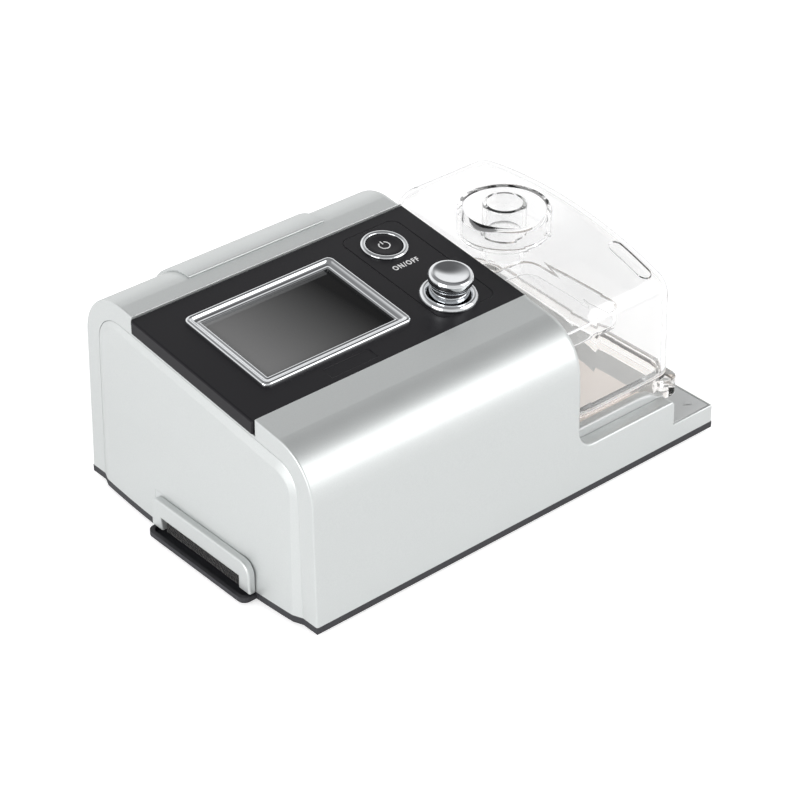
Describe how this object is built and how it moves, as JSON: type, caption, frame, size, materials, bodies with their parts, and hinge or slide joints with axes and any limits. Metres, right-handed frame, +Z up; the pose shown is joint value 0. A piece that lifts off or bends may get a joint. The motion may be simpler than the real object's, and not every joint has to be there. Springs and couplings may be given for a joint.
{
  "type": "bilevel breathing machine",
  "caption": "Table-top bilevel breathing machine: silver hood with a tilted black control panel, colour screen, turn knob and power button, and a slide-out clear water chamber.",
  "frame": {"origin": "centre of the footprint on the table, under the middle of the bounding box", "axes": "+X to the water chamber end, +Y to the back, +Z up"},
  "size_m": [0.2676, 0.172, 0.1142],
  "materials": {
    "silver": "satin silver ABS",
    "satin_black": "satin",
    "base_black": "fine matt grain",
    "chrome": "bright plating on plastic",
    "screen_glass": "gloss",
    "steel": "plain",
    "board_green": "solder mask",
    "foam": "open cell foam",
    "white_plastic": "plain",
    "motor": "copper windings",
    "silicone": "matt silicone",
    "grey_plastic": "satin",
    "alloy": "satin",
    "film": "polyimide film",
    "clear": "clear moulding",
    "seal": "soft silicone",
    "rubber": "matt"
  },
  "bodies": {
    "housing": {"base_shell": "base_black", "top_shell": "silver", "rear_cover": "silver", "control_panel": "satin_black", "key_plate": "satin_black", "lcd_bezel": "chrome", "lcd_glass": "screen_glass", "lcd_module": "steel", "display_board": "board_green", "power_ring": "chrome", "button_switch": "steel", "knob_collar": "chrome", "encoder_body": "steel", "muffler_box": "white_plastic", "muffler_foam": "foam", "lower_volute": "white_plastic", "upper_volute": "white_plastic", "motor_bearings": "steel", "motor_stator": "motor", "blower_mounts": "silicone", "outlet_coupling": "silicone", "main_board": "board_green", "power_inlet": "satin_black", "card_socket": "steel", "chamber_tray": "grey_plastic", "heater_springs": "steel", "latch_springs": "steel", "rubber_feet": "rubber", "housing_screws": "steel", "board_screws": "steel"},
    "power_button": {"power_button": "satin_black"},
    "knob_stem": {"encoder_shaft": "steel"},
    "knob": {"knob": "chrome"},
    "filter": {"filter_cover": "silver", "filter_foam": "foam"},
    "rotor": {"impeller": "white_plastic", "motor_shaft": "steel"},
    "card": {"data_card": "satin_black"},
    "heater": {"heater_plate": "alloy", "heater_film": "film"},
    "latch": {"latch_plate": "grey_plastic"},
    "tub": {"chamber_tub": "clear", "chamber_base": "alloy", "chamber_seal": "seal"},
    "dome": {"chamber_dome": "clear", "chamber_deck": "clear"}
  },
  "joints": [
    {"name": "power_button_press", "type": "slide", "parent": "housing", "child": "power_button", "axis": [0, 0.1219, -0.9925], "range_m": [0, 0.001], "stiffness_N_per_m": 800, "springref_m": -0.0005},
    {"name": "knob_press", "type": "slide", "parent": "housing", "child": "knob_stem", "axis": [0, 0.1219, -0.9925], "range_m": [0, 0.0008], "stiffness_N_per_m": 1500, "springref_m": -0.0005},
    {"name": "knob_turn", "type": "hinge", "parent": "knob_stem", "child": "knob", "pos_m": [0.01095, -0.02477, 0.10422], "axis": [0, -0.1219, 0.9925], "continuous": true},
    {"name": "filter_pull", "type": "slide", "parent": "housing", "child": "filter", "axis": [-1, 0, 0], "range_m": [0, 0.03]},
    {"name": "impeller_spin", "type": "hinge", "parent": "housing", "child": "rotor", "pos_m": [-0.01425, -0.014, 0.055], "axis": [0, 0, 1], "continuous": true},
    {"name": "card_slide", "type": "slide", "parent": "housing", "child": "card", "axis": [0, 1, 0], "range_m": [0, 0.022]},
    {"name": "heater_press", "type": "slide", "parent": "housing", "child": "heater", "axis": [0, 0, -1], "range_m": [0, 0.0012], "stiffness_N_per_m": 4000, "springref_m": -0.001, "deforming": ["heater_springs"]},
    {"name": "latch_press", "type": "slide", "parent": "housing", "child": "latch", "axis": [0, 0, -1], "range_m": [0, 0.003], "stiffness_N_per_m": 1500, "springref_m": -0.002, "deforming": ["latch_springs"]},
    {"name": "chamber_slide", "type": "slide", "parent": "housing", "child": "tub", "axis": [1, 0, 0], "range_m": [0, 0.095]},
    {"name": "dome_lift", "type": "slide", "parent": "tub", "child": "dome", "axis": [0, 0, 1], "range_m": [0, 0.04]}
  ]
}
